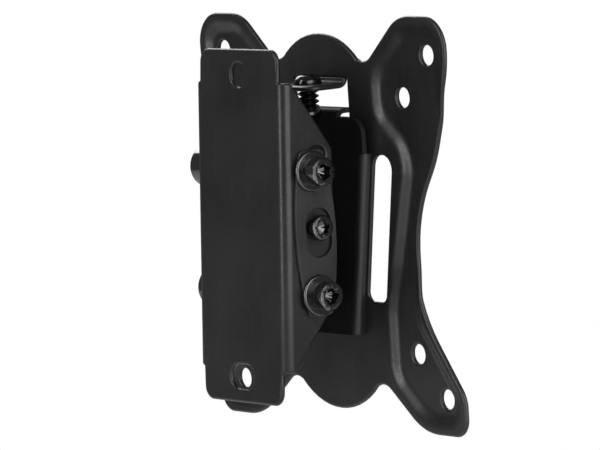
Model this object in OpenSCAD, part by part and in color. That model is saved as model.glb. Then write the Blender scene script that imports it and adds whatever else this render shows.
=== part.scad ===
// Small tilting screen mount with a stamped hole plate.
// Millimetres. Origin: middle of the wall-side face of the wall bracket.
// +Y points from the wall to the screen, +Z points up.

/* [Wall bracket] */
// Height of the wall bracket over its two screw ears
bracket_h = 103.5; // [96:0.5:120]
// Width of the screw ears
ear_w = 38.4; // [30:0.2:42]
// Corner radius of the screw ears
ear_r = 4; // [1:0.5:8]
// Outside width over the two side flanges
channel_w = 44; // [43:0.5:56]
// Height of the side flanges where they leave the web
channel_h = 84; // [78:0.5:88]
// Depth of the side flanges, measured from the wall
channel_d = 17.8; // [17:0.1:20]
// Height of the straight free edge of a side flange
flange_edge_h = 45.6; // [44:0.2:54]
// Sheet thickness of the wall bracket
bracket_t = 1.6; // [1.2:0.1:2.5]
// Outside radius of the two long bends
bracket_bend_r = 3; // [2.6:0.1:4]
// Corner radius at the free edge of a side flange
flange_corner_r = 5; // [2:0.5:8]
// Diameter of the wall screw holes
wall_hole_d = 7.2; // [5:0.1:8]
// Length of the slot for the lower wall screw
wall_slot_len = 11.5; // [8:0.1:14]
// Distance between the two wall screws
wall_hole_pitch = 88.4; // [87:0.1:94]

/* [Tilt] */
// Distance of the tilt axis from the wall
axis_y = 37; // [34:0.5:42]
// Tilt of the screen side, top toward the wall
tilt_now = 3.4; // [-6:0.1:6]
// Largest tilt to each side of upright
tilt_max = 6; // [6:0.1:6.5]
// Distance of the tilt bolts from the wall when upright
bolt_y = 10.1; // [9.6:0.1:10.4]
// Distance between the two tilt bolts
bolt_pitch = 36.2; // [34:0.1:37]
// Diameter of a tilt bolt
bolt_d = 5; // [4:0.1:5.4]
// Diameter of a tilt bolt head
bolt_head_d = 8.5; // [8:0.1:10]
// Height of a tilt bolt head
bolt_head_h = 5; // [3:0.1:6]
// Socket width across flats of the tilt bolts
bolt_socket_w = 4; // [3:0.1:5]
// Free play round a tilt bolt in its curved slot
slot_play = 0.3; // [0.25:0.05:0.5]
// Running gap between sheets that slide on each other
slide_gap = 0.1; // [0.05:0.05:0.2]

/* [Guide plates] */
// Thickness of a guide plate
guide_t = 1; // [0.8:0.1:2]
// Width of a guide plate at its middle
guide_w = 14.4; // [13:0.1:15]
// Height of a guide plate
guide_h = 48.6; // [46:0.2:52]
// Radius of the two long curved edges
guide_edge_r = 96; // [70:1:140]
// Corner radius at the ends
guide_corner_r = 4.5; // [3:0.5:5]
// Offset of the plate middle from the bolt line
guide_off = 0.5; // [0:0.1:0.8]
// Height of the opening for the centre screw head
guide_hole_h = 14.4; // [14:0.1:17]
// Width of the opening for the centre screw head
guide_hole_w = 9; // [8.4:0.1:9.4]
// Offset of that opening from the bolt line
guide_hole_off = 1.5; // [1.2:0.1:1.8]

/* [Small parts] */
// Diameter of the washers
washer_d = 12; // [10:0.5:13]
// Thickness of the washers
washer_t = 1.2; // [0.8:0.1:2]
// Diameter of the round nuts on the left
round_nut_d = 12.6; // [9:0.1:13]
// Length of the round nuts
round_nut_h = 6.3; // [4:0.1:8]
// Diameter of the spacer tubes
spacer_d = 10; // [8:0.5:11]
// Diameter of the centre screws
mid_d = 4; // [3:0.1:4.5]
// Diameter of a centre screw head
mid_head_d = 7.5; // [6:0.1:7.6]
// Height of a centre screw head
mid_head_h = 3.6; // [2:0.1:5]
// Distance of the centre screws from the wall
mid_y = 11.3; // [11.2:0.1:11.6]
// Width across flats of the centre nuts
mid_nut_w = 7; // [6:0.1:8]
// Height of the centre nuts
mid_nut_h = 3.2; // [2:0.1:4]

/* [Arms] */
// Width over the two arms
arms_w = 12; // [10:0.5:14]
// Height of the arms
arms_h = 48; // [46:0.5:50]
// Sheet thickness of the arms
arms_t = 2; // [1.5:0.1:2.5]
// Distance of the arm ends from the wall
arms_y = 4.3; // [4.2:0.1:4.6]

/* [Hook panel] */
// Distance of the panel face from the wall
panel_y = 29.2; // [28:0.1:29.4]
// Sheet thickness of the panel
panel_t = 1.5; // [1:0.1:2]
// Panel width at the top
panel_w = 45.8; // [43:0.2:46]
// Height of the panel top edge above the axis
panel_top = 31.5; // [30:0.1:32]
// Height at which the side flanges begin
panel_flange_top = 21; // [16:0.5:23]
// Depth of the panel below the axis
panel_bottom = 32.8; // [31:0.1:36]
// Slant of the panel sides from upright
slant = 9.4; // [6:0.1:10]
// Outside radius of the side bends
panel_bend_r = 2.2; // [1.8:0.1:2.8]
// Corner radius at the panel top
panel_corner_r = 5; // [2:0.5:8]
// Width of the tongue that enters the window
tongue_w = 22; // [16:0.5:23]
// Outside radius of the tongue bend
tongue_bend_r = 3; // [2.6:0.1:3.2]

/* [Lock screw] */
// Diameter of the lock screw
lock_d = 6.4; // [4:0.1:6.6]
// Diameter of the lock screw head
lock_head_d = 8.4; // [7.6:0.1:8.4]
// Height of the lock screw head
lock_head_h = 2.8; // [2:0.1:4]
// Distance of the lock screw from the plate face
lock_off = 4.6; // [4.6:0.1:5.2]

/* [Screen plate] */
// Distance of the plate face from the wall
plate_y = 32.3; // [32:0.1:34]
// Sheet thickness of the plate
plate_t = 1.5; // [1:0.1:2]
// Overall width
plate_w = 120.8; // [117:0.2:140]
// Height of the top edge above the centre
plate_top = 61.4; // [59:0.2:70]
// Depth of the bottom edge below the centre
plate_bottom = 60.5; // [59:0.5:70]
// Width at the waist
waist_w = 80; // [76:0.5:90]
// Depth of the waist below the centre
waist_drop = 11; // [8:0.5:16]
// Radius of the waist curve
waist_r = 40; // [36:1:42]
// Height of the centre lobes above the centre
lobe_top = 55.9; // [53:0.1:60]
// Radius of the centre lobes
lobe_r = 26; // [20:0.5:28]
// Step by which the hole fields stand proud
emboss = 1.55; // [0.8:0.05:2.5]
// Width of the soft bead round a hole field
bead_w = 2.7; // [2:0.1:3.2]
// Rim left round a hole field
rim_w = 2.9; // [2:0.1:4]
// Outer hole spacing
hole_outer = 100; // [99:0.5:101]
// Inner hole spacing
hole_inner = 75; // [74:0.5:76]
// Diameter of the screen holes
hole_d = 5.8; // [4.5:0.1:6.5]
// Width of the two slanted slots
slot_w = 8.8; // [6:0.1:9.4]
// Distance of a slot from the middle
slot_x = 24.7; // [24.5:0.1:25.6]
// Top of the slots above the centre
slot_top = 20.5; // [16:0.5:21]
// Depth of the slots below the centre
slot_bottom = 22.8; // [18:0.1:26]
// Width of the upper window
window_w = 26; // [25:0.5:30]
// Bottom of the window above the centre
window_z = 31.4; // [30.5:0.1:31.8]
// Width of the upper tab
tab_w = 24; // [20:0.5:24.4]
// Length of the upper tab from the plate face
tab_len = 12.7; // [11:0.1:14]
// Height of the top of the upper tab
tab_z = 41.4; // [39.5:0.1:43]
// Corner radius of the upper tab
tab_r = 4; // [2:0.5:6]

/* [Hidden] */
$fn = 64;

bolt_arm = axis_y - bolt_y;
bolt_z = bolt_pitch / 2;
bolt_orbit = norm([bolt_arm, bolt_z]);
bolt_angle = atan2(bolt_z, bolt_arm);
bolt_slot_d = bolt_d + 2 * slot_play;
end_play = 0.2;
flange_in = channel_w / 2 - bracket_t;
flange_out = channel_w / 2;
guide_in = flange_out + slide_gap;
guide_out = guide_in + guide_t;
washer_out = guide_out + washer_t;
thread_fit = 0.02;
bracket_black = [0.16, 0.16, 0.17];
plate_black = [0.13, 0.13, 0.14];
screw_black = [0.07, 0.07, 0.08];
part_black = [0.19, 0.19, 0.2];

// Outlines with rounded corners. A corner is [x, y, radius] and the
// corners run clockwise.
function unit(v) = v / norm(v);
function at(c, i) = c[(i + len(c)) % len(c)];
function xy(p) = [p[0], p[1]];
function way_in(c, i) = unit(xy(at(c, i)) - xy(at(c, i - 1)));
function way_out(c, i) = unit(xy(at(c, i + 1)) - xy(at(c, i)));
function turn(c, i) = cross(way_in(c, i), way_out(c, i));
function bend(c, i) = acos(max(-1, min(1, way_in(c, i) * way_out(c, i))));
function reach(c, i) = at(c, i)[2] * tan(bend(c, i) / 2);
function side(c, i) = turn(c, i) < 0 ? 1 : -1;
function first(c, i) = xy(at(c, i)) - way_in(c, i) * reach(c, i);
function last(c, i) = xy(at(c, i)) + way_out(c, i) * reach(c, i);
function right_of(v) = [v[1], -v[0]];
function core(c, i) = first(c, i) + right_of(way_in(c, i)) * at(c, i)[2] * side(c, i);
function out_angle(c, i) = let (n = -right_of(way_in(c, i)) * side(c, i)) atan2(n[1], n[0]);

// Points of the outline, pushed outward by d
function ring(c, d = 0, n = 8) = [
  for (i = [0 : len(c) - 1])
    for (k = [0 : n])
      let (a = out_angle(c, i) - side(c, i) * bend(c, i) * k / n)
      core(c, i) + (at(c, i)[2] + side(c, i) * d) * [cos(a), sin(a)]
];

// Exact outline: straight runs and true arcs
module soft(c) {
  function blunt(i) = side(c, i) < 0 && at(c, i)[2] > 0;
  difference() {
    polygon([
      for (i = [0 : len(c) - 1])
        each (blunt(i) ? [first(c, i), last(c, i)] : [xy(at(c, i))])
    ]);
    for (i = [0 : len(c) - 1])
      if (at(c, i)[2] > 0) {
        if (blunt(i))
          translate(core(c, i)) circle(at(c, i)[2]);
        else
          difference() {
            polygon([for (p = [core(c, i), first(c, i), xy(at(c, i)), last(c, i)])
              core(c, i) + 1.5 * (p - core(c, i))]);
            translate(core(c, i)) circle(at(c, i)[2]);
          }
      }
  }
}

function flip(c) = [for (i = [len(c) - 1 : -1 : 0]) [-c[i][0], c[i][1], c[i][2]]];

// Outline in X and Z, thickened toward the screen
module sheet_y(y0, t) {
  translate([0, y0 + t, 0]) rotate([90, 0, 0]) linear_extrude(t) children();
}

// Outline in Y and Z, thickened toward +X
module sheet_x(x0, t) {
  translate([x0, 0, 0]) rotate([90, 0, 90]) linear_extrude(t) children();
}

// Round bar or bore along X
module rod_x(x0, x1, d) {
  translate([min(x0, x1), 0, 0]) rotate([0, 90, 0]) cylinder(d = d, h = abs(x1 - x0));
}

// Everything on the screen side turns about the tilt axis
module tilted() {
  translate([0, axis_y, 0]) rotate([tilt_now, 0, 0]) translate([0, -axis_y, 0]) children();
}

module at_bolt(s) {
  translate([0, bolt_y, s * bolt_z]) children();
}

// Quarter ring of sheet, used for every bend
module bend_ring(r, t) {
  intersection() {
    difference() {
      circle(r);
      circle(r - t);
    }
    square(r + 1);
  }
}

// Wall bracket
module channel_section() {
  translate([-flange_out + bracket_bend_r, 0]) square([channel_w - 2 * bracket_bend_r, bracket_t]);
  for (s = [0, 1]) mirror([s, 0]) {
    translate([flange_out - bracket_bend_r, bracket_bend_r])
      mirror([0, 1]) bend_ring(bracket_bend_r, bracket_t);
    translate([flange_in, bracket_bend_r]) square([bracket_t, channel_d - bracket_bend_r]);
  }
}

flange_root = bracket_bend_r + 0.2;
flange_side = [
  [-1, channel_h / 2, 0],
  [flange_root, channel_h / 2, 0.5],
  [channel_d, flange_edge_h / 2, flange_corner_r],
  [channel_d, -flange_edge_h / 2, flange_corner_r],
  [flange_root, -channel_h / 2, 0.5],
  [-1, -channel_h / 2, 0]
];

ear_plate = [
  [-ear_w / 2, bracket_h / 2, ear_r],
  [ear_w / 2, bracket_h / 2, ear_r],
  [ear_w / 2, -bracket_h / 2, ear_r],
  [-ear_w / 2, -bracket_h / 2, ear_r]
];

// Curved slot about the tilt axis for one bolt, in Y and Z
module travel_slot(s) {
  reach_up = bolt_angle + tilt_max + end_play;
  reach_down = bolt_angle - tilt_max - end_play;
  translate([axis_y, 0]) {
    intersection() {
      difference() {
        circle(bolt_orbit + bolt_slot_d / 2, $fn = 200);
        circle(bolt_orbit - bolt_slot_d / 2, $fn = 200);
      }
      polygon([
        [0, 0],
        2 * bolt_orbit * [-cos(reach_down), s * sin(reach_down)],
        2 * bolt_orbit * [-cos(reach_up), s * sin(reach_up)]
      ]);
    }
    for (a = [reach_down, reach_up])
      translate(bolt_orbit * [-cos(a), s * sin(a)]) circle(d = bolt_slot_d);
  }
}

module wall_bracket() {
  color(bracket_black) difference() {
    union() {
      sheet_y(0, bracket_t) soft(ear_plate);
      intersection() {
        translate([0, 0, -channel_h / 2]) linear_extrude(channel_h) channel_section();
        sheet_x(-flange_out - 1, channel_w + 2) soft(flange_side);
      }
    }
    sheet_x(flange_in - 1, bracket_t + 2) for (s = [-1, 1]) travel_slot(s);
    sheet_x(-flange_out - 1, bracket_t + 2) for (s = [-1, 1]) travel_slot(s);
    translate([0, mid_y, 0]) rod_x(-flange_out - 1, flange_out + 1, mid_d + 2 * thread_fit);
    translate([0, bracket_t + 1, wall_hole_pitch / 2])
      rotate([90, 0, 0]) cylinder(d = wall_hole_d, h = bracket_t + 2);
    sheet_y(-1, bracket_t + 2) {
      for (s = [-1, 1])
        translate([s * (wall_slot_len - wall_hole_d) / 2, -wall_hole_pitch / 2])
          circle(d = wall_hole_d);
      translate([-(wall_slot_len - wall_hole_d) / 2, -(wall_hole_pitch + wall_hole_d) / 2])
        square([wall_slot_len - wall_hole_d, wall_hole_d]);
    }
  }
}

// Screws, washers, nuts and spacers. All are drawn for the right side.
module socket_head(x0, d, h, w) {
  difference() {
    translate([x0, 0, 0]) rotate([0, 90, 0]) rotate_extrude()
      polygon([[0, 0], [d / 2, 0], [d / 2, h - d * 0.07], [d * 0.43, h], [0, h]]);
    translate([x0 + h * 0.45, 0, 0]) rotate([0, 90, 0])
      cylinder(d = w / cos(30), h = h, $fn = 6);
  }
}

module centre_screw() {
  translate([0, mid_y, 0]) {
    socket_head(flange_out, mid_head_d, mid_head_h, mid_head_d * 0.4);
    rod_x(flange_in - mid_nut_h - 1, flange_out + 0.5, mid_d);
  }
}

module centre_nut() {
  translate([flange_in - mid_nut_h, mid_y, 0]) rotate([0, 90, 0]) difference() {
    cylinder(d = mid_nut_w / cos(30), h = mid_nut_h, $fn = 6);
    translate([0, 0, -1]) cylinder(d = mid_d + 2 * thread_fit, h = mid_nut_h + 2);
  }
}

module washer(s) {
  at_bolt(s) difference() {
    rod_x(guide_out, washer_out, washer_d);
    rod_x(guide_out - 1, washer_out + 1, bolt_d + 2 * thread_fit);
  }
}

module tilt_bolt(s) {
  at_bolt(s) {
    socket_head(washer_out, bolt_head_d, bolt_head_h, bolt_socket_w);
    rod_x(-guide_out - round_nut_h * 0.7, washer_out + 0.5, bolt_d);
  }
}

module round_nut(s) {
  at_bolt(s) mirror([1, 0, 0]) difference() {
    translate([guide_out, 0, 0]) rotate([0, 90, 0]) rotate_extrude()
      polygon([
        [0, 0], [round_nut_d / 2, 0], [round_nut_d / 2, round_nut_h - 0.8],
        [round_nut_d / 2 - 0.8, round_nut_h], [0, round_nut_h]
      ]);
    rod_x(guide_out - 1, guide_out + round_nut_h * 0.7, bolt_d + 2 * thread_fit);
  }
}

module spacer(s) {
  at_bolt(s) difference() {
    rod_x(arms_w / 2, flange_in - slide_gap, spacer_d);
    rod_x(arms_w / 2 - 1, flange_in + 1, bolt_d + 2 * thread_fit);
  }
}

// Guide plate on the outside of a side flange
guide_y = bolt_y + guide_off;

module guide_outline() {
  intersection() {
    soft([
      [guide_y - guide_w / 2 + 1, guide_h / 2, guide_corner_r],
      [guide_y + guide_w / 2 - 1, guide_h / 2, guide_corner_r],
      [guide_y + guide_w / 2 + 1, 0, 0],
      [guide_y + guide_w / 2 - 1, -guide_h / 2, guide_corner_r],
      [guide_y - guide_w / 2 + 1, -guide_h / 2, guide_corner_r],
      [guide_y - guide_w / 2 - 1, 0, 0]
    ]);
    translate([guide_y - guide_w / 2 + guide_edge_r, 0]) circle(guide_edge_r, $fn = 240);
    translate([guide_y + guide_w / 2 - guide_edge_r, 0]) circle(guide_edge_r, $fn = 240);
  }
}

module guide_plate() {
  difference() {
    sheet_x(guide_in, guide_t) difference() {
      guide_outline();
      translate([bolt_y + guide_hole_off, 0]) {
        for (s = [-1, 1])
          translate([0, s * (guide_hole_h - guide_hole_w) / 2]) circle(d = guide_hole_w);
        square([guide_hole_w, guide_hole_h - guide_hole_w], center = true);
      }
    }
    for (s = [-1, 1])
      at_bolt(s) rod_x(guide_in - 1, guide_out + 1, bolt_d + 2 * thread_fit);
  }
}

// Arms that carry the panel
arms_side = [
  [arms_y, arms_h / 2, 6],
  [panel_y, arms_h / 2, 0],
  [panel_y, -arms_h / 2, 0],
  [arms_y, -arms_h / 2, 6]
];

module arms_section() {
  r = arms_t * 1.5;
  w = arms_w / 2;
  translate([-w + r, panel_y - arms_t]) square([arms_w - 2 * r, arms_t]);
  for (s = [0, 1]) mirror([s, 0]) {
    translate([w - r, panel_y - r]) bend_ring(r, arms_t);
    translate([w - arms_t, arms_y]) square([arms_t, panel_y - r - arms_y]);
  }
}

module tilt_arms() {
  color(plate_black) difference() {
    intersection() {
      translate([0, 0, -arms_h / 2]) linear_extrude(arms_h) arms_section();
      sheet_x(-arms_w / 2 - 1, arms_w + 2) soft(arms_side);
    }
    for (s = [-1, 1])
      at_bolt(s) rod_x(-arms_w / 2 - 1, arms_w / 2 + 1, bolt_d + 2 * thread_fit);
  }
}

// Hook panel
panel_low_w = panel_w - 2 * (panel_flange_top + panel_bottom) * tan(slant);
panel_gap = plate_y - panel_y;

module panel_flange() {
  run = (panel_flange_top + panel_bottom) / cos(slant);
  translate([panel_w / 2, panel_y, panel_flange_top]) rotate([0, slant, 0])
    translate([0, 0, -run]) linear_extrude(run) {
      translate([-panel_bend_r, panel_bend_r]) mirror([0, 1])
        bend_ring(panel_bend_r, panel_t);
      translate([-panel_t, panel_bend_r]) square([panel_t, panel_gap - panel_bend_r]);
      translate([-panel_bend_r - 3, 0]) square([3, panel_t]);
    }
}

module hook_panel() {
  inset = panel_bend_r / cos(slant);
  color(plate_black) difference() {
    union() {
      sheet_y(panel_y, panel_t) soft([
        [-panel_w / 2, panel_top, panel_corner_r],
        [panel_w / 2, panel_top, panel_corner_r],
        [panel_w / 2, panel_flange_top, 0],
        [panel_w / 2 - inset, panel_flange_top, 0],
        [panel_low_w / 2 - inset, -panel_bottom, 0],
        [-panel_low_w / 2 + inset, -panel_bottom, 0],
        [-panel_w / 2 + inset, panel_flange_top, 0],
        [-panel_w / 2, panel_flange_top, 0]
      ]);
      for (s = [0, 1]) mirror([s, 0, 0]) intersection() {
        panel_flange();
        translate([0, panel_y - 1, -panel_bottom]) cube([panel_w, 10, 100]);
      }
      sheet_x(-tongue_w / 2, tongue_w) tongue_section();
    }
    translate([0, plate_y - lock_off, panel_top + 0.5]) cylinder(d = lock_d + 0.8, h = 10);
  }
}

tongue_z = panel_top + tongue_bend_r - 0.5;

module tongue_section() {
  translate([panel_y, panel_top - 2]) square([panel_t, 1.5]);
  translate([panel_y + tongue_bend_r, panel_top - 0.5])
    mirror([1, 0]) bend_ring(tongue_bend_r, panel_t);
  translate([panel_y + tongue_bend_r, tongue_z - panel_t])
    square([plate_y + plate_t + 1 - panel_y - tongue_bend_r, panel_t]);
}

// Screen plate
half = plate_w / 2;
wing = 0.85;
plate_half = [
  [20.75, lobe_top - 10, 5.5],
  [38.5, plate_top, 14],
  [half, plate_top, 9.5],
  [half, plate_top - 15, 30],
  [half - 9.6, 19.2, 40],
  [waist_w / 2 - waist_r * 0.22, -waist_drop, waist_r],
  [half, 11.7 - plate_bottom, 9],
  [half, -plate_bottom, 5.5],
  [40, -plate_bottom, 20],
  [21, 10.4 - lobe_top, 5.5]
];
plate_corners = concat(
  [[0, lobe_top + 10.8, lobe_r]], plate_half,
  [[0, -lobe_top - 10.6, lobe_r]], flip(plate_half)
);

module plate_outline() {
  polygon(ring(plate_corners, 0, 12));
}

// Middle line of the bead round the right hole field
inset_w = rim_w + bead_w / 2;
field = [
  [26.2, 44.5, 7],
  [40.7, plate_top - inset_w, 10],
  [half - inset_w, plate_top - inset_w, 5.5],
  [half - inset_w, 41, 8],
  [half + 4, 29, 2],
  [half + 4, -13, 2],
  [39.2, -27.3, 4],
  [half - inset_w, -49.1, 6],
  [half - inset_w, inset_w - plate_bottom, 3.5],
  [41.3, inset_w - plate_bottom, 16],
  [27.6, -45, 10],
  [27.6, -25.5, 12],
  [39.4, 20.5, 5],
  [26.2, 33.5, 7]
];

// Outline of both hole fields, pushed outward by d from the bead line
module fields(d) {
  for (s = [0, 1]) mirror([s, 0]) polygon(ring(field, d, 8));
}

tab_r_in = 0.4;

module tab_section() {
  translate([plate_y - tab_r_in, tab_z + tab_r_in]) mirror([0, 1])
    bend_ring(tab_r_in + plate_t, plate_t);
  translate([plate_y - tab_len, tab_z - plate_t])
    square([tab_len - tab_r_in, plate_t]);
}

module slanted_slot() {
  function edge(z) = slot_x + z * tan(slant);
  soft([
    [edge(slot_top) - slot_w / 2, slot_top, 4],
    [edge(slot_top) + slot_w / 2, slot_top, 4.2],
    [edge(-slot_bottom) + slot_w / 2, -slot_bottom, 2.5],
    [edge(-slot_bottom) - slot_w / 2, -slot_bottom, 2.5]
  ]);
}

module screen_plate() {
  color(plate_black) {
    difference() {
      union() {
        sheet_y(plate_y, plate_t) difference() {
          plate_outline();
          fields(0);
        }
        sheet_y(plate_y, emboss + plate_t) intersection() {
          plate_outline();
          difference() {
            fields(plate_t);
            fields(0);
          }
        }
        sheet_y(plate_y + emboss, plate_t) intersection() {
          plate_outline();
          fields(plate_t);
        }
      }
      for (x = [-1, 1]) for (z = [-1, 1]) for (p = [hole_outer, hole_inner])
        translate([x * p / 2, plate_y + emboss + plate_t + 1, z * p / 2])
          rotate([90, 0, 0]) cylinder(d = hole_d, h = plate_t + 2);
      sheet_y(plate_y - 1, plate_t + 2) {
        for (s = [0, 1]) mirror([s, 0]) slanted_slot();
        translate([-window_w / 2, window_z])
          square([window_w, tab_z + tab_r_in - window_z]);
      }
    }
    difference() {
      sheet_x(-tab_w / 2, tab_w) tab_section();
      tab_corners();
      translate([0, plate_y - lock_off, tab_z - 5])
        cylinder(d = lock_d + 2 * thread_fit, h = 10);
    }
  }
}

// What is cut away to round the free corners of the upper tab
module tab_corners() {
  for (s = [0, 1]) mirror([s, 0, 0])
    translate([tab_w / 2 - tab_r, plate_y - tab_len + tab_r, tab_z - plate_t - 1])
      difference() {
        translate([0, -tab_r - 1, 0]) cube([tab_r + 1, tab_r + 1, plate_t + 2]);
        translate([0, 0, -1]) cylinder(r = tab_r, h = plate_t + 4);
      }
}

module lock_screw() {
  color(screw_black) translate([0, plate_y - lock_off, 0]) {
    translate([0, 0, panel_top + 0.5]) cylinder(d = lock_d, h = tab_z - panel_top);
    translate([0, 0, tab_z]) difference() {
      rotate_extrude() intersection() {
        translate([0, lock_head_h - lock_head_d * 0.9]) circle(lock_head_d * 0.9);
        square([lock_head_d / 2, lock_head_h]);
      }
      for (a = [0, 90]) rotate([0, 0, a])
        translate([-lock_head_d * 0.27, -0.6, lock_head_h * 0.45])
          cube([lock_head_d * 0.54, 1.2, lock_head_h]);
    }
  }
}

wall_bracket();
color(screw_black) centre_screw();  // centre_screw_right
color(screw_black) mirror([1, 0, 0]) centre_screw();  // centre_screw_left
color(screw_black) centre_nut();  // centre_nut_right
color(screw_black) mirror([1, 0, 0]) centre_nut();  // centre_nut_left
color(part_black) tilted() guide_plate();  // guide_plate_right
color(part_black) tilted() mirror([1, 0, 0]) guide_plate();  // guide_plate_left
color(screw_black) tilted() washer(1);  // washer_top
color(screw_black) tilted() washer(-1);  // washer_bottom
color(screw_black) tilted() tilt_bolt(1);  // tilt_bolt_top
color(screw_black) tilted() tilt_bolt(-1);  // tilt_bolt_bottom
color(screw_black) tilted() round_nut(1);  // round_nut_top
color(screw_black) tilted() round_nut(-1);  // round_nut_bottom
color(part_black) tilted() spacer(1);  // spacer_top_right
color(part_black) tilted() mirror([1, 0, 0]) spacer(1);  // spacer_top_left
color(part_black) tilted() spacer(-1);  // spacer_bottom_right
color(part_black) tilted() mirror([1, 0, 0]) spacer(-1);  // spacer_bottom_left
tilted() tilt_arms();
tilted() hook_panel();
tilted() screen_plate();
tilted() lock_screw();
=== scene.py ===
import math

import bpy
import numpy as np
from mathutils import Matrix, Vector
from mathutils.geometry import delaunay_2d_cdt


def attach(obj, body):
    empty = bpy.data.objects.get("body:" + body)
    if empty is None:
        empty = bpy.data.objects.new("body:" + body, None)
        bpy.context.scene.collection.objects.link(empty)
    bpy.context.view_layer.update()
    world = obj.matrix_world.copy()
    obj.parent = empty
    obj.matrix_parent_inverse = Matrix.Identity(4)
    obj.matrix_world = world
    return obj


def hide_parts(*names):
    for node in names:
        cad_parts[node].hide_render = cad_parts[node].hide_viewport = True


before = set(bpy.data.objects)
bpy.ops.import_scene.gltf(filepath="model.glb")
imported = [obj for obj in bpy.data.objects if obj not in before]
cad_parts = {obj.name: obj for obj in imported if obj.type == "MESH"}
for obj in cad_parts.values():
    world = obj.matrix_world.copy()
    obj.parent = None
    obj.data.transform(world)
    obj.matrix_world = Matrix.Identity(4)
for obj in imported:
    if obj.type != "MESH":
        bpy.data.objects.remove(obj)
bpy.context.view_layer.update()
MM = 0.001

# Sizes in mm, the same as in the part's source
AXIS_Y = 37
BOLT_Y, BOLT_Z, BOLT_R, BOLT_SLOT_R = 10.1, 18.1, 2.5, 2.8
CENTRE_Y, CENTRE_SCREW_R, CENTRE_HOLE_R = 11.3, 2.0, 2.02
FLANGE_OUT, WASHER_IN, WASHER_OUT = 22, 23.1, 24.3
BRACKET_T, BRACKET_HALF_H, EAR_HALF = 1.6, 51.75, 19.2
CHANNEL_HALF_H, CHANNEL_D, FLANGE_EDGE = 42, 17.8, 22.8
WALL_HOLE_Z, WALL_HOLE_R, WALL_SLOT_HALF = 44.2, 3.6, 2.15
PLATE_Y, PLATE_T, EMBOSS = 32.3, 1.5, 1.55
SQUARES, SCREEN_HOLE_R = (50, 37.5), 2.9
SLOT_X, SLOT_TOP, SLOT_LOW, SLOT_HALF_W = 24.7, 20.5, -22.8, 4.4
WINDOW_HALF, WINDOW_LOW = 13, 31.4
TAB_TOP, TAB_LEN, TAB_HALF, TAB_FOLD, TAB_CORNER = 41.4, 12.7, 12, 1.5, 4
LOCK_OFF, LOCK_SEAT, LOCK_HOLE_R = 4.6, 32, 3.25

# Angles in degrees: the photographed tilt, the bolts' swing along their slots, and the slant of the plate's slots
TILT, SWING, SLANT = 3.4, 6.2, 9.4

# Radius of the bolt's hole through washers and round nuts, with a little play, in mm
EYE_R = BOLT_R + 0.02

LEAN = (
    Matrix.Translation((0, AXIS_Y * MM, 0))
    @ Matrix.Rotation(math.radians(TILT), 4, "X")
    @ Matrix.Translation((0, -AXIS_Y * MM, 0))
)


# ---- Working with pieces ----

def pick(piece):
    if bpy.context.object and bpy.context.object.mode != "OBJECT":
        bpy.ops.object.mode_set(mode="OBJECT")
    bpy.ops.object.select_all(action="DESELECT")
    piece.select_set(True)
    bpy.context.view_layer.objects.active = piece


def open_mesh(piece):
    pick(piece)
    bpy.ops.object.mode_set(mode="EDIT")
    bpy.ops.mesh.select_mode(type="VERT")


def close_mesh():
    bpy.ops.object.mode_set(mode="OBJECT")


def apply_all(piece):
    pick(piece)
    for m in list(piece.modifiers):
        bpy.ops.object.modifier_apply(modifier=m.name)


def place(piece, matrix):
    piece.matrix_world = matrix @ piece.matrix_world
    pick(piece)
    bpy.ops.object.transform_apply(location=True, rotation=True, scale=True)


def soften(piece, width, segments, angle):
    """Rounds the sharp edges by a width in mm, and keeps the flats flat in their shading."""
    m = piece.modifiers.new("edges", "BEVEL")
    m.width = width * MM
    m.segments = segments
    m.limit_method = "ANGLE"
    m.angle_limit = math.radians(angle)
    m.use_clamp_overlap = True
    apply_all(piece)
    bpy.ops.object.shade_smooth_by_angle(angle=math.radians(40))
    w = piece.modifiers.new("flats", "WEIGHTED_NORMAL")
    w.keep_sharp = True
    w.weight = 80
    apply_all(piece)


def level_flats(piece):
    """Lets the flat faces of a sheet shade flat right up to their soft edges."""
    normals = [Vector(n.vector) for n in piece.data.corner_normals]
    for f in piece.data.polygons:
        if max(abs(c) for c in f.normal) > 0.99999:
            for k in f.loop_indices:
                normals[k] = f.normal.copy()
    piece.data.normals_split_custom_set(normals)


def workpiece(node, name):
    """A joined-up copy of a frame node, ready for finishing."""
    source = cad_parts[node]
    piece = source.copy()
    piece.data = source.data.copy()
    piece.name = name
    piece.data.name = name
    for key in [k for k in piece.keys() if k.startswith("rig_")]:
        del piece[key]
    bpy.context.scene.collection.objects.link(piece)
    piece.parent = None
    piece.matrix_world = Matrix.Identity(4)
    piece.data.materials.clear()
    open_mesh(piece)
    bpy.ops.mesh.select_all(action="SELECT")
    bpy.ops.mesh.remove_doubles(threshold=0.002 * MM)
    bpy.ops.mesh.customdata_custom_splitnormals_clear()
    bpy.ops.mesh.dissolve_limited(angle_limit=math.radians(0.6))
    close_mesh()
    return piece


def finish_piece(piece, body, slot, finish, *nodes):
    piece.data.materials.clear()
    piece.data.materials.append(finish)
    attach(piece, body)
    if nodes:
        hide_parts(*nodes)
    return piece


# ---- Coats ----

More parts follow.
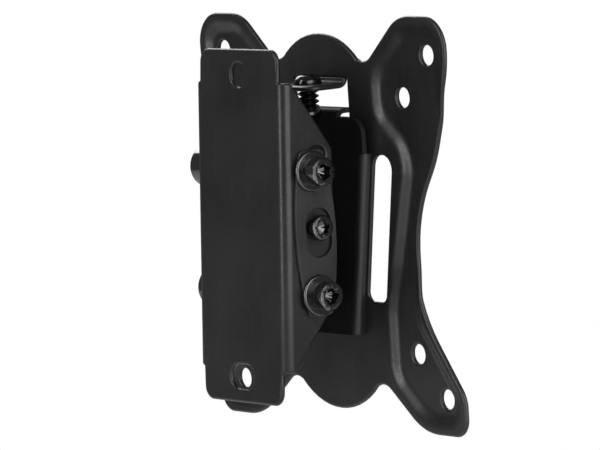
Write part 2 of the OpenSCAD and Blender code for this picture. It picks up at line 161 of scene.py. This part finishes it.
def grain_group():
    """Fine orange peel and uneven tone of a sprayed coat."""
    g = bpy.data.node_groups.new("coat_grain", "ShaderNodeTree")
    g.interface.new_socket("Place", in_out="INPUT", socket_type="NodeSocketVector")
    g.interface.new_socket("Fineness", in_out="INPUT", socket_type="NodeSocketFloat")
    g.interface.new_socket("Height", in_out="OUTPUT", socket_type="NodeSocketFloat")
    g.interface.new_socket("Tone", in_out="OUTPUT", socket_type="NodeSocketFloat")
    start = g.nodes.new("NodeGroupInput")
    end = g.nodes.new("NodeGroupOutput")
    peel = g.nodes.new("ShaderNodeTexNoise")
    peel.inputs["Detail"].default_value = 3
    cloud = g.nodes.new("ShaderNodeTexNoise")
    cloud.inputs["Scale"].default_value = 38
    cloud.inputs["Detail"].default_value = 2
    squeeze = g.nodes.new("ShaderNodeVectorMath")
    squeeze.operation = "MULTIPLY"
    squeeze.inputs[1].default_value = (1, 1, 0.06)
    brush = g.nodes.new("ShaderNodeTexNoise")
    brush.inputs["Scale"].default_value = 700
    brush.inputs["Detail"].default_value = 2
    both = g.nodes.new("ShaderNodeMix")
    both.inputs["Factor"].default_value = 0.16
    g.links.new(start.outputs["Place"], peel.inputs["Vector"])
    g.links.new(start.outputs["Place"], cloud.inputs["Vector"])
    g.links.new(start.outputs["Fineness"], peel.inputs["Scale"])
    g.links.new(peel.outputs["Fac"], end.inputs["Height"])
    g.links.new(start.outputs["Place"], squeeze.inputs[0])
    g.links.new(squeeze.outputs["Vector"], brush.inputs["Vector"])
    g.links.new(cloud.outputs["Fac"], both.inputs["A"])
    g.links.new(brush.outputs["Fac"], both.inputs["B"])
    sharpen = g.nodes.new("ShaderNodeMapRange")
    sharpen.inputs["From Min"].default_value = 0.3
    sharpen.inputs["From Max"].default_value = 0.7
    g.links.new(both.outputs["Result"], sharpen.inputs["Value"])
    g.links.new(sharpen.outputs["Result"], end.inputs["Tone"])
    return g


GRAIN = grain_group()


def coat(name, dark, light, smooth, rough, fineness, depth, level, mottle=0.06):
    """Sprayed or plated finish, its tone, roughness and shine uneven as on the real one."""
    m = bpy.data.materials.new(name)
    m.use_nodes = True
    n, link = m.node_tree.nodes, m.node_tree.links.new
    shader = n["Principled BSDF"]
    shader.inputs["Specular IOR Level"].default_value = level
    coords = n.new("ShaderNodeTexCoord")
    grain = n.new("ShaderNodeGroup")
    grain.node_tree = GRAIN
    grain.inputs["Fineness"].default_value = fineness
    link(coords.outputs["Object"], grain.inputs["Place"])
    tone = n.new("ShaderNodeMix")
    tone.data_type = "RGBA"
    tone.inputs["A"].default_value = (*dark, 1)
    tone.inputs["B"].default_value = (*light, 1)
    link(grain.outputs["Tone"], tone.inputs["Factor"])
    link(tone.outputs["Result"], shader.inputs["Base Color"])
    shine = n.new("ShaderNodeMapRange")
    shine.inputs["To Min"].default_value = level * (1 - mottle)
    shine.inputs["To Max"].default_value = level * (1 + mottle)
    link(grain.outputs["Tone"], shine.inputs["Value"])
    link(shine.outputs["Result"], shader.inputs["Specular IOR Level"])
    span = n.new("ShaderNodeMapRange")
    span.inputs["From Min"].default_value = 0.3
    span.inputs["From Max"].default_value = 0.7
    span.inputs["To Min"].default_value = smooth
    span.inputs["To Max"].default_value = rough
    link(grain.outputs["Height"], span.inputs["Value"])
    link(span.outputs["Result"], shader.inputs["Roughness"])
    bump = n.new("ShaderNodeBump")
    bump.inputs["Strength"].default_value = 1.0
    bump.inputs["Distance"].default_value = depth
    link(grain.outputs["Height"], bump.inputs["Height"])
    link(bump.outputs["Normal"], shader.inputs["Normal"])
    return m


def paint_wall_face_shade(m, face):
    """Paints shade on the faces that look at the wall: their shine is taken down to face, as painted shade for
    the bracket's shadow on them, and left on the folded sides.
    """
    n, link = m.node_tree.nodes, m.node_tree.links.new
    shader = n["Principled BSDF"]
    facing = n.new("ShaderNodeNewGeometry")
    parts = n.new("ShaderNodeSeparateXYZ")
    link(facing.outputs["Normal"], parts.inputs["Vector"])
    sideways = n.new("ShaderNodeMath")
    sideways.operation = "ABSOLUTE"
    link(parts.outputs["X"], sideways.inputs[0])
    shine = n.new("ShaderNodeMapRange")
    shine.inputs["From Min"].default_value = 0.1
    shine.inputs["From Max"].default_value = 0.6
    shine.inputs["To Min"].default_value = face
    shine.inputs["To Max"].default_value = shader.inputs["Specular IOR Level"].default_value
    link(sideways.outputs["Value"], shine.inputs["Value"])
    link(shine.outputs["Result"], shader.inputs["Specular IOR Level"])


bracket_coat = coat(
    "satin_black_bracket", (0.005, 0.005, 0.0054), (0.0125, 0.0125, 0.013),
    smooth=0.28, rough=0.4, fineness=900, depth=0.00002, level=0.3,
)
plate_coat = coat(
    "satin_black_plate", (0.005, 0.005, 0.0054), (0.0125, 0.0125, 0.013),
    smooth=0.3, rough=0.4, fineness=900, depth=0.00002, level=0.34,
)
# Painted shade: the panel's coat is a darker copy of the plate's, standing in for the bracket's shadow on the
# panel and the arms, and its faces toward the wall get less shine as painted shade
shaded_panel_coat = coat(
    "satin_black_panel_painted_shade", (0.005, 0.005, 0.0054), (0.01, 0.01, 0.0105),
    smooth=0.28, rough=0.38, fineness=900, depth=0.00002, level=0.34,
)
paint_wall_face_shade(shaded_panel_coat, 0.01)
guide_coat = coat(
    "rough_black_guide", (0.008, 0.008, 0.0085), (0.017, 0.017, 0.0175),
    smooth=0.4, rough=0.56, fineness=1400, depth=0.00008, level=0.26, mottle=0.35,
)
screw_coat = coat(
    "glossy_black_screw", (0.002, 0.002, 0.0023), (0.004, 0.004, 0.0044),
    smooth=0.07, rough=0.13, fineness=1600, depth=0.000006, level=0.9,
)
washer_coat = coat(
    "black_washer", (0.004, 0.004, 0.0044), (0.006, 0.006, 0.0065),
    smooth=0.1, rough=0.18, fineness=1600, depth=0.000008, level=0.8,
)
lock_coat = coat(
    "glossy_black_lock_screw", (0.002, 0.002, 0.0022), (0.003, 0.003, 0.0032),
    smooth=0.12, rough=0.2, fineness=1600, depth=0.000004, level=0.5,
)


# ---- Pieces that keep their frame shape, with softened edges ----

for node, body, slot, finish, width in (
    ("hook_panel", "screen_side", "plate_black", shaded_panel_coat, 0.45),
    ("tilt_arms", "screen_side", "plate_black", shaded_panel_coat, 0.3),
    ("guide_plate_right", "screen_side", "part_black", guide_coat, 0.22),
    ("guide_plate_left", "screen_side", "part_black", guide_coat, 0.22),
    ("centre_nut_right", "wall_side", "screw_black", screw_coat, 0.2),
    ("centre_nut_left", "wall_side", "screw_black", screw_coat, 0.2),
    ("spacer_top_right", "screen_side", "part_black", guide_coat, 0.2),
    ("spacer_top_left", "screen_side", "part_black", guide_coat, 0.2),
    ("spacer_bottom_right", "screen_side", "part_black", guide_coat, 0.2),
    ("spacer_bottom_left", "screen_side", "part_black", guide_coat, 0.2),
):
    piece = workpiece(node, node + "_finished")
    soften(piece, width, 3, 40)
    finish_piece(piece, body, slot, finish, node)


# ---- Outlines, as points in X and Z, in mm ----

# Corners are [x, z, radius], clockwise, as in the part's source
HALF, TOP, LOW, LOBE = 60.4, 61.4, 60.5, 55.9
PLATE_HALF = [
    (20.75, LOBE - 10, 5.5), (38.5, TOP, 14), (HALF, TOP, 9.5), (HALF, TOP - 15, 30), (HALF - 9.6, 19.2, 40),
    (31.2, -11, 40), (HALF, 11.7 - LOW, 9), (HALF, -LOW, 5.5), (40, -LOW, 20), (21, 10.4 - LOBE, 5.5),
]
# The bead runs this far inside the plate's edge, this wide, with this share eased at its foot and at its top
INSET, BEAD, EASE = 4.25, 5.0, 0.38
FIELD = [
    (26.0, 44.5, 10), (40.7, TOP - INSET, 10), (HALF - INSET, TOP - INSET, 5.5), (HALF - INSET, 22, 2),
    (HALF + 6, 16, 2), (HALF + 6, 0, 2), (44, 0, 2), (38.6, -26.6, 12), (HALF - INSET, -49.1, 6),
    (HALF - INSET, INSET - LOW, 3.5), (41.3, INSET - LOW, 16), (27.6, -45, 10), (27.6, -25.5, 12),
    (40.4, 21.3, 12), (26.0, 32.6, 9),
]
# A sheet's edge is rounded over the last of these distances, with a guide loop at each
ROUND = (0.12, 0.37, 0.74)
# The bracket's blank: half of its flat web, the outer radius of its folds, and the length each fold takes up
WEB, BEND = 19.0, 3.0
FOLD_LEN = math.pi / 2 * BEND


def mirrored(corners):
    return [(-x, z, r) for x, z, r in reversed(corners)]


def outline(corners, out=0.0, steps=8):
    """Points of a rounded outline, pushed outward by out."""
    points = []
    n = len(corners)
    for i in range(n):
        before, here, after = (Vector(corners[k % n][:2]) for k in (i - 1, i, i + 1))
        way_in, way_out = (here - before).normalized(), (after - here).normalized()
        side = 1 if way_in.cross(way_out) < 0 else -1
        bend = way_in.angle(way_out)
        radius = corners[i][2]
        if radius == 0:
            points.append(here)
            continue
        start = here - way_in * radius * math.tan(bend / 2)
        inward = Vector((way_in.y, -way_in.x)) * side
        centre = start + inward * radius
        first = math.atan2(-inward.y, -inward.x)
        for k in range(steps + 1):
            a = first - side * bend * k / steps
            points.append(centre + (radius + side * out) * Vector((math.cos(a), math.sin(a))))
    return points


def circle(x, z, radius, out=0.0):
    """Round hole; out is how far a loop lies outside the hole's edge, here and in the holes below."""
    turns = [math.tau * k / 48 for k in range(48)]
    return [Vector((x + (radius + out) * math.cos(a), z + (radius + out) * math.sin(a))) for a in turns]


def long_hole(half, z, radius, out=0.0):
    """Upright ends joined by straight sides, lying along X."""
    r = radius + out
    return [
        Vector((side * half + r * math.cos(a), z + r * math.sin(a)))
        for side, start in ((1, -math.pi / 2), (-1, math.pi / 2))
        for a in (start + math.pi * k / 16 for k in range(17))
    ]


def box_hole(half, low, high, out=0.0):
    x, bottom, top = half + out, low - out, high + out
    return [Vector(p) for p in ((-x, top), (x, top), (x, bottom), (-x, bottom))]


def travel_slot(side, up, out=0.0):
    """Curved slot for a tilt bolt, struck from the tilt axis, on the unfolded flange."""
    arm, half = AXIS_Y - BOLT_Y, BOLT_SLOT_R + out
    orbit, middle, swing = math.hypot(arm, BOLT_Z), math.atan2(BOLT_Z, arm), math.radians(SWING)
    low, high = middle - swing, middle + swing

    def arc(r, first, last):
        angles = [first + (last - first) * k / 12 for k in range(13)]
        return [(AXIS_Y - r * math.cos(a), r * math.sin(a)) for a in angles]

    def cap(at, sign):
        y, z = AXIS_Y - orbit * math.cos(at), orbit * math.sin(at)
        angles = [math.atan2(math.sin(at), -math.cos(at)) - math.pi * k / 12 for k in range(1, 12)]
        return [(y + sign * half * math.cos(a), z + sign * half * math.sin(a)) for a in angles]

    loop = arc(orbit + half, low, high) + cap(high, 1) + arc(orbit - half, high, low) + cap(low, -1)
    return [Vector((side * (WEB + FOLD_LEN + y - BEND), up * z)) for y, z in loop]


def inside(points, loop):
    """Which of the points lie inside the loop."""
    p, q = np.array(loop, float), np.roll(np.array(loop, float), -1, 0)
    x, y = points[:, 0, None], points[:, 1, None]
    crosses = (p[:, 1] > y) != (q[:, 1] > y)
    with np.errstate(divide="ignore", invalid="ignore"):
        at = p[:, 0] + (y - p[:, 1]) * (q[:, 0] - p[:, 0]) / (q[:, 1] - p[:, 1])
    return (np.where(crosses, x < at, False).sum(1) % 2) == 1


def reach_from(points, loop):
    """Distance of each point from the loop, negative inside it."""
    p, q = np.array(loop, float), np.roll(np.array(loop, float), -1, 0)
    d = q - p
    size = np.maximum((d * d).sum(1), 1e-12)
    out = np.zeros(len(points))
    for i, c in enumerate(points):
        t = np.clip(((c - p) * d).sum(1) / size, 0, 1)
        out[i] = np.sqrt((((p + t[:, None] * d) - c) ** 2).sum(1).min())
    return np.where(inside(points, loop), -out, out)


# ---- Sheets: a flat blank that gets its thickness and is laid on its folded or pressed shape ----

def flat_sheet(name, edge, holes, guides, creases=()):
    """A triangulated flat blank, with its guide loops and creases as edges."""
    points, lines = [], []
    for loop in [edge, *holes, *guides]:
        first = len(points)
        points += [Vector(p) for p in loop]
        lines += [(first + k, first + (k + 1) % len(loop)) for k in range(len(loop))]
    for line in creases:
        first = len(points)
        points += [Vector(p) for p in line]
        lines += [(first + k, first + k + 1) for k in range(len(line) - 1)]
    made = delaunay_2d_cdt(points, lines, [], 0, 0.005)
    co = np.array([tuple(v) for v in made[0]], float)
    middles = np.array([co[list(f)].mean(0) for f in made[2]])
    keep = inside(middles, edge)
    for loop in holes:
        keep &= ~inside(middles, loop)
    mesh = bpy.data.meshes.new(name)
    mesh.from_pydata([(x, 0, z) for x, z in co], [], [tuple(f) for f, k in zip(made[2], keep) if k])
    piece = bpy.data.objects.new(name, mesh)
    bpy.context.scene.collection.objects.link(piece)
    open_mesh(piece)
    bpy.ops.mesh.select_all(action="SELECT")
    bpy.ops.mesh.delete_loose()
    bpy.ops.mesh.select_all(action="SELECT")
    bpy.ops.mesh.normals_make_consistent(inside=False)
    close_mesh()
    return piece


def form_sheet(piece, thickness, edges, shape):
    """Gives a flat sheet its thickness, rounds its edges, and lays it on its shape."""
    flat = np.array([(v.co.x, v.co.z) for v in piece.data.vertices])
    n, r = len(flat), ROUND[-1]
    near = np.min([np.abs(reach_from(flat, loop)) for loop in edges], axis=0)
    sink = r - np.sqrt(r * r - np.clip(r - near, 0, r) ** 2)
    solid = piece.modifiers.new("sheet", "SOLIDIFY")
    solid.thickness = 1
    apply_all(piece)
    for k, v in enumerate(piece.data.vertices):
        deep = sink[k % n] if k < n else thickness - sink[k % n]
        v.co = Vector(shape(*flat[k % n], deep)) * MM
    open_mesh(piece)
    bpy.ops.mesh.select_all(action="SELECT")
    bpy.ops.mesh.normals_make_consistent(inside=False)
    close_mesh()
    bpy.ops.object.shade_smooth()
    level_flats(piece)


def folded_bracket():
    """The wall bracket: one flat blank, folded along two bends."""
    root, reach = WEB + FOLD_LEN, WEB + FOLD_LEN + CHANNEL_D - BEND
    half = [
        (EAR_HALF, BRACKET_HALF_H, 4), (EAR_HALF, CHANNEL_HALF_H, 0.8),
        (root + 0.2, CHANNEL_HALF_H, 1), (reach, FLANGE_EDGE, 5),
        (reach, -FLANGE_EDGE, 5), (root + 0.2, -CHANNEL_HALF_H, 1),
        (EAR_HALF, -CHANNEL_HALF_H, 0.8), (EAR_HALF, -BRACKET_HALF_H, 4),
    ]
    corners = half + mirrored(half)
    edge = outline(corners, 0, 10)
    holes, guides = [], [outline(corners, -d, 10) for d in ROUND]
    centre_u = root + CENTRE_Y - BEND
    for kind, args in (
        (circle, (0, WALL_HOLE_Z, WALL_HOLE_R)),
        (long_hole, (WALL_SLOT_HALF, -WALL_HOLE_Z, WALL_HOLE_R)),
        (circle, (centre_u, 0, CENTRE_HOLE_R)), (circle, (-centre_u, 0, CENTRE_HOLE_R)),
        (travel_slot, (1, 1)), (travel_slot, (1, -1)), (travel_slot, (-1, 1)), (travel_slot, (-1, -1)),
    ):
        holes.append(kind(*args))
        guides += [kind(*args, d) for d in ROUND]
    folds = [side * (WEB + FOLD_LEN * k / 8) for side in (-1, 1) for k in range(1, 9)]
    creases = [[(u, 0.01 - CHANNEL_HALF_H), (u, CHANNEL_HALF_H - 0.01)] for u in folds]
    creases += [[(u, 0.75 - BRACKET_HALF_H), (u, BRACKET_HALF_H - 0.75)] for u in (-WEB, WEB)]
    piece = flat_sheet("wall_bracket_folded", edge, holes, guides, creases)

    def shape(u, z, deep):
        a, side = abs(u), math.copysign(1, u)
        if a <= WEB or abs(z) > CHANNEL_HALF_H:
            return u, deep, z
        if a <= WEB + FOLD_LEN:
            t = (a - WEB) / BEND
            return side * (WEB + (BEND - deep) * math.sin(t)), BEND - (BEND - deep) * math.cos(t), z
        return side * (WEB + BEND - deep), BEND + a - WEB - FOLD_LEN, z

    form_sheet(piece, BRACKET_T, [edge, *holes], shape)
    return finish_piece(piece, "wall_side", "bracket_black", bracket_coat, "wall_bracket")


def pressed_plate():
    """The screen plate: one sheet, with soft beads round its two raised hole fields."""
    corners = [(0, LOBE + 10.8, 26), *PLATE_HALF, (0, -LOBE - 10.6, 26), *mirrored(PLATE_HALF)]
    edge = outline(corners, 0, 14)
    slant = math.tan(math.radians(SLANT))
    upper, lower = SLOT_X + SLOT_TOP * slant, SLOT_X + SLOT_LOW * slant
    slot = [
        (upper - SLOT_HALF_W, SLOT_TOP, 4), (upper + SLOT_HALF_W, SLOT_TOP, 4.2),
        (lower + SLOT_HALF_W, SLOT_LOW, 2.5), (lower - SLOT_HALF_W, SLOT_LOW, 2.5),
    ]
    holes, guides = [], [outline(corners, -d, 14) for d in ROUND]
    for x, z in ((x * p, z * p) for x in (-1, 1) for z in (-1, 1) for p in SQUARES):
        holes.append(circle(x, z, SCREEN_HOLE_R))
        guides += [circle(x, z, SCREEN_HOLE_R, d) for d in ROUND]
    for loop in (slot, mirrored(slot)):
        holes.append(outline(loop, 0, 7))
        guides += [outline(loop, d, 7) for d in ROUND]
    window = (WINDOW_HALF, WINDOW_LOW, TAB_TOP + TAB_FOLD)
    holes.append(box_hole(*window))
    guides += [box_hole(*window, d) for d in ROUND]
    for out in (-2.5, -2.1, -1.7, -1.3, -0.9, -0.45, 0, 0.45, 0.9, 1.3, 1.7, 2.1, 2.5):
        guides += [outline(FIELD, out, 16), outline(mirrored(FIELD), out, 16)]
    piece = flat_sheet("screen_plate_pressed", edge, holes, guides)

    # How far each point is pressed out: 0 at the sheet, 1 on a raised field, straight in the bead's middle
    flat = np.array([(abs(v.co.x), v.co.z) for v in piece.data.vertices])
    across = np.clip(reach_from(flat, outline(FIELD, 0, 24)) / BEAD, -0.5, 0.5)
    straight = across / (1 - EASE)
    eased = np.sign(across) * (0.5 - (0.5 - abs(across)) ** 2 / (2 * EASE * (1 - EASE)))
    pressed = 0.5 - np.where(abs(across) < 0.5 - EASE, straight, eased)
    rise = dict(zip(map(tuple, np.round(flat, 4)), pressed))

    def shape(x, z, deep):
        return x, PLATE_Y + EMBOSS * rise[(round(abs(x), 4), round(z, 4))] + deep, z

    form_sheet(piece, PLATE_T, [edge, *holes], shape)
    place(piece, LEAN)
    return finish_piece(piece, "screen_side", "plate_black", plate_coat, "screen_plate")


def lock_tab():
    """The upper tab, folded off the plate at the top of its window."""
    straight = TAB_LEN - TAB_FOLD
    length = straight + TAB_FOLD * math.pi / 2
    hole = (0, TAB_LEN - LOCK_OFF, LOCK_HOLE_R)

    def tab(root, d=0.0):
        side, radius = TAB_HALF - d, TAB_CORNER - d
        return outline([(-side, root, 0), (side, root, 0), (side, d, radius), (-side, d, radius)], 0, 8)

    guides = [tab(length, d) for d in ROUND] + [circle(*hole, d) for d in ROUND]
    folds = [straight + (length - straight) * k / 6 for k in range(6)]
    creases = [[(-TAB_HALF, w), (TAB_HALF, w)] for w in folds]
    piece = flat_sheet("screen_plate_tab", tab(length), [circle(*hole)], guides, creases)

    def shape(x, w, deep):
        y, z = PLATE_Y - TAB_LEN, TAB_TOP
        if w <= straight:
            return x, y + w, z - deep
        a = (w - straight) / TAB_FOLD
        r = TAB_FOLD + deep
        return x, y + straight + r * math.sin(a), z + TAB_FOLD - r * math.cos(a)

    # The root runs on into the plate, so it is left sharp: the loop for rounding ends well beyond it
    form_sheet(piece, PLATE_T, [tab(30), circle(*hole)], shape)
    place(piece, LEAN)
    return finish_piece(piece, "screen_side", "plate_black", plate_coat, "screen_plate")


folded_bracket()
pressed_plate()
lock_tab()


# ---- Turned pieces ----

def turned(name, profile, sides=64):
    """A solid of revolution about Z: a disc drawn out ring by ring. profile is [radius, height] in mm."""
    bpy.ops.object.select_all(action="DESELECT")
    r0, h0 = profile[0]
    bpy.ops.mesh.primitive_circle_add(vertices=sides, radius=r0 * MM, fill_type="NGON", location=(0, 0, h0 * MM))
    piece = bpy.context.object
    piece.name = name
    bpy.ops.object.transform_apply(location=True)
    open_mesh(piece)
    bpy.ops.mesh.select_all(action="SELECT")
    for (ra, ha), (rb, hb) in zip(profile, profile[1:]):
        bpy.ops.mesh.extrude_region_move(TRANSFORM_OT_translate={"value": (0, 0, (hb - ha) * MM)})
        bpy.ops.transform.resize(value=(rb / ra, rb / ra, 1), center_override=(0, 0, hb * MM))
    bpy.ops.mesh.select_all(action="SELECT")
    bpy.ops.mesh.normals_make_consistent(inside=False)
    close_mesh()
    return piece


def cut(piece, tool):
    """Takes the tool's shape out of the piece, and then removes the tool."""
    pick(piece)
    m = piece.modifiers.new("cut", "BOOLEAN")
    m.operation = "DIFFERENCE"
    m.solver = "EXACT"
    m.object = tool
    apply_all(piece)
    bpy.data.objects.remove(tool)


def prism(name, sides, radius, low, high, spin=0.0):
    bpy.ops.object.select_all(action="DESELECT")
    bpy.ops.mesh.primitive_cylinder_add(
        vertices=sides, radius=radius * MM, depth=(high - low) * MM,
        location=(0, 0, (low + high) / 2 * MM), rotation=(0, 0, spin),
    )
    tool = bpy.context.object
    tool.name = name
    bpy.ops.object.transform_apply(location=True, rotation=True)
    return tool


def along_x(x, y, z, leaning=True, other_way=False):
    """Lays a turned piece along X, with its foot at x, y, z in mm."""
    quarter = math.pi / 2 * (-1 if other_way else 1)
    m = Matrix.Translation((x * MM, y * MM, z * MM)) @ Matrix.Rotation(quarter, 4, "Y")
    return (LEAN @ m) if leaning else m


def socket_screw(name, head_d, head_h, across, depth, shank_d, shank_len, spin):
    """Screw with a six-sided socket, its head's underside at height 0; sizes in mm."""
    r = head_d / 2
    piece = turned(name, [
        (shank_d / 2, -shank_len), (shank_d / 2, 0.0), (r * 0.985, 0.0), (r, head_h * 0.06),
        (r, head_h * 0.86), (r * 0.955, head_h * 0.965), (r * 0.87, head_h), (r * 0.3, head_h),
    ])
    # The socket's floor is a shallow cone, as a drill leaves it
    floor_h, tip = head_h - depth, across / 2 * math.tan(math.radians(24))
    drill = turned("drill", [
        (0.01, floor_h - tip), (across / 2, floor_h), (across / 2, floor_h + 0.3), (0.01, floor_h + 0.3),
    ], 48)
    cut(piece, drill)
    cut(piece, prism("socket", 6, across / 2 / math.cos(math.pi / 6), floor_h, head_h + 1, spin))
    soften(piece, 0.12, 2, 35)
    return piece


for name, s, spin in (("tilt_bolt_top", 1, 0.42), ("tilt_bolt_bottom", -1, 0.15)):
    bolt = socket_screw(name + "_finished", 8.5, 5.0, 4.6, 2.9, BOLT_R * 2, 51.81, spin)
    place(bolt, along_x(WASHER_OUT, BOLT_Y, s * BOLT_Z))
    finish_piece(bolt, "screen_side", "screw_black", screw_coat, name)

for name, side in (("centre_screw_right", 1), ("centre_screw_left", -1)):
    screw = socket_screw(name + "_finished", 7.5, 3.6, 4.0, 2.2, CENTRE_SCREW_R * 2, 5.8, 0.3)
    place(screw, along_x(side * FLANGE_OUT, CENTRE_Y, 0, leaning=False, other_way=side < 0))
    finish_piece(screw, "wall_side", "screw_black", screw_coat, name)

for name, s in (("washer_top", 1), ("washer_bottom", -1)):
    washer = turned(name + "_finished", [
        (EYE_R, 0.0), (5.7, 0.0), (6.0, 0.3), (6.0, 0.65), (5.95, 0.86),
        (5.82, 1.04), (5.62, 1.16), (5.4, 1.2), (EYE_R, 1.2),
    ], 96)
    cut(washer, prism("eye", 64, EYE_R, -1, 3))
    soften(washer, 0.08, 2, 30)
    place(washer, along_x(WASHER_IN, BOLT_Y, s * BOLT_Z))
    finish_piece(washer, "screen_side", "screw_black", washer_coat, name)

for name, s in (("round_nut_top", 1), ("round_nut_bottom", -1)):
    nut = turned(name + "_finished", [
        (3.0, 0.0), (6.1, 0.0), (6.3, 0.2), (6.3, 5.3), (6.05, 5.95),
        (5.5, 6.3), (2.6, 6.3), (2.4, 6.0), (0.4, 5.9),
    ], 96)
    cut(nut, prism("eye", 48, EYE_R, -1, 4.41))
    soften(nut, 0.1, 2, 30)
    place(nut, along_x(-WASHER_IN, BOLT_Y, s * BOLT_Z, other_way=True))
    finish_piece(nut, "screen_side", "screw_black", screw_coat, name)


def wound_thread(core_r, crest_r, pitch, bottom, turns):
    """One tooth drawn as a line from a single point and wound up the shank."""
    tooth_line = [
        (core_r, 0.0), (crest_r - 0.12, pitch * 0.36), (crest_r, pitch * 0.5),
        (crest_r - 0.12, pitch * 0.64), (core_r, pitch),
    ]
    bpy.ops.object.select_all(action="DESELECT")
    bpy.ops.mesh.primitive_plane_add(size=MM)
    tooth = bpy.context.object
    open_mesh(tooth)
    bpy.ops.mesh.select_all(action="SELECT")
    bpy.ops.mesh.merge(type="CENTER")
    here = Vector((0, 0, 0))
    for k, (r, z) in enumerate(tooth_line):
        there = Vector((r, 0, bottom + z)) * MM
        if k == 0:
            bpy.ops.transform.translate(value=there)
        else:
            bpy.ops.mesh.extrude_region_move(TRANSFORM_OT_translate={"value": there - here})
        here = there
    close_mesh()
    wind = tooth.modifiers.new("wind", "SCREW")
    wind.angle = math.tau
    wind.screw_offset = pitch * MM
    wind.iterations = turns
    wind.steps = 48
    wind.render_steps = 48
    wind.use_merge_vertices = True
    wind.merge_threshold = 0.004 * MM
    apply_all(tooth)
    return tooth


def lock_screw():
    """Cross-headed lock screw with a coarse thread, standing in the notch of the tongue."""
    pitch, core_r, crest_r = 1.55, 2.0, 3.2
    head = turned("lock_screw_finished", [
        (core_r - 0.1, -0.4), (4.15, 0.0), (4.2, 0.35), (4.1, 0.95), (3.75, 1.6),
        (3.1, 2.2), (2.2, 2.6), (1.1, 2.78), (0.2, 2.8),
    ], 72)
    for a in (0.6, 0.6 + math.pi / 2):
        bpy.ops.object.select_all(action="DESELECT")
        bpy.ops.mesh.primitive_cube_add(
            size=1, location=(0, 0, 2.5 * MM), rotation=(0, 0, a), scale=(4.6 * MM, 1.0 * MM, 2.4 * MM),
        )
        arm = bpy.context.object
        bpy.ops.object.transform_apply(location=True, rotation=True, scale=True)
        cut(head, arm)
    soften(head, 0.1, 2, 40)
    place(head, Matrix.Translation((0, 0, TAB_TOP * MM)))
    turns = int((TAB_TOP - LOCK_SEAT - 0.05) / pitch)
    thread = wound_thread(core_r, crest_r, pitch, LOCK_SEAT, turns)
    shank = turned("shank", [
        (3.2, LOCK_SEAT), (3.5, LOCK_SEAT + 0.3), (3.5, LOCK_SEAT + 1.7),
        (core_r, LOCK_SEAT + 2.0), (core_r, TAB_TOP),
    ], 48)
    pick(head)
    thread.select_set(True)
    shank.select_set(True)
    bpy.ops.object.join()
    place(head, LEAN @ Matrix.Translation((0, (PLATE_Y - LOCK_OFF) * MM, 0)))
    bpy.ops.object.shade_smooth_by_angle(angle=math.radians(32))
    return finish_piece(head, "screen_side", "screw_black", lock_coat, "lock_screw")


lock_screw()


# ---- Floor, light and camera ----

bpy.ops.object.select_all(action="DESELECT")
bpy.ops.mesh.primitive_plane_add(size=2.4, location=(0, 0.2, -0.32))
floor = bpy.context.object
floor.name = "floor"
pale = bpy.data.materials.new("pale_floor")
pale.use_nodes = True
pale.node_tree.nodes["Principled BSDF"].inputs["Base Color"].default_value = (0.86, 0.86, 0.86, 1)
pale.node_tree.nodes["Principled BSDF"].inputs["Roughness"].default_value = 0.9
floor.data.materials.append(pale)

# White behind the object, and a dimmer white for what lights and mirrors in it
world = bpy.data.worlds.new("studio")
world.use_nodes = True
bpy.context.scene.world = world
wn, wl = world.node_tree.nodes, world.node_tree.links.new
back = wn["Background"]
rays = wn.new("ShaderNodeLightPath")
either = wn.new("ShaderNodeMath")
either.operation = "MAXIMUM"
wl(rays.outputs["Is Camera Ray"], either.inputs[0])
wl(rays.outputs["Is Transmission Ray"], either.inputs[1])
level = wn.new("ShaderNodeMapRange")
level.inputs["To Min"].default_value = 0.2
level.inputs["To Max"].default_value = 1.0
wl(either.outputs[0], level.inputs["Value"])
back.inputs["Color"].default_value = (1, 1, 1, 1)
wl(level.outputs["Result"], back.inputs["Strength"])


def softbox(name, angle, height, far, wide, tall, power):
    """A soft lamp at an angle from straight in front of the wall side, toward +X."""
    a = math.radians(angle)
    data = bpy.data.lights.new(name, "AREA")
    data.shape = "RECTANGLE"
    data.size = wide
    data.size_y = tall
    data.energy = power
    lamp = bpy.data.objects.new(name, data)
    bpy.context.scene.collection.objects.link(lamp)
    lamp.location = (math.sin(a) * far, -math.cos(a) * far, height)
    lamp.rotation_euler = (Vector((0, 0, 0)) - lamp.location).to_track_quat("-Z", "Y").to_euler()


softbox("front_softbox", -6, 0.35, 1.2, 0.16, 1.4, 13)
softbox("side_softbox", 80, 0.3, 1.2, 1.0, 1.4, 20)
softbox("back_softbox", 110, 0.2, 1.2, 0.4, 1.0, 2.2)
softbox("rim_softbox", -104, 0.8, 1.1, 1.0, 0.5, 9)

# The photograph's camera, fitted to the screen plate's holes; its lens was found in pixels of the picture
LENS_PX, PICTURE_PX, SENSOR = 5434.75, 600, 36
camera_data = bpy.data.cameras.new("photo_camera")
camera = bpy.data.objects.new("photo_camera", camera_data)
bpy.context.scene.collection.objects.link(camera)
right = Vector((0.59347, 0.8047, -0.01593))
up = Vector((-0.0414, 0.05029, 0.99788))
forward = Vector((-0.80379, 0.59155, -0.06316))
turn = Matrix((right, up, -forward)).transposed()
camera.matrix_world = Matrix.Translation((1.286, -0.9247, 0.1003)) @ turn.to_4x4()
camera_data.sensor_width = SENSOR
camera_data.lens = LENS_PX * SENSOR / PICTURE_PX
camera_data.clip_start = 0.1
camera_data.clip_end = 20
bpy.context.scene.camera = camera
bpy.context.scene.view_settings.view_transform = "Standard"
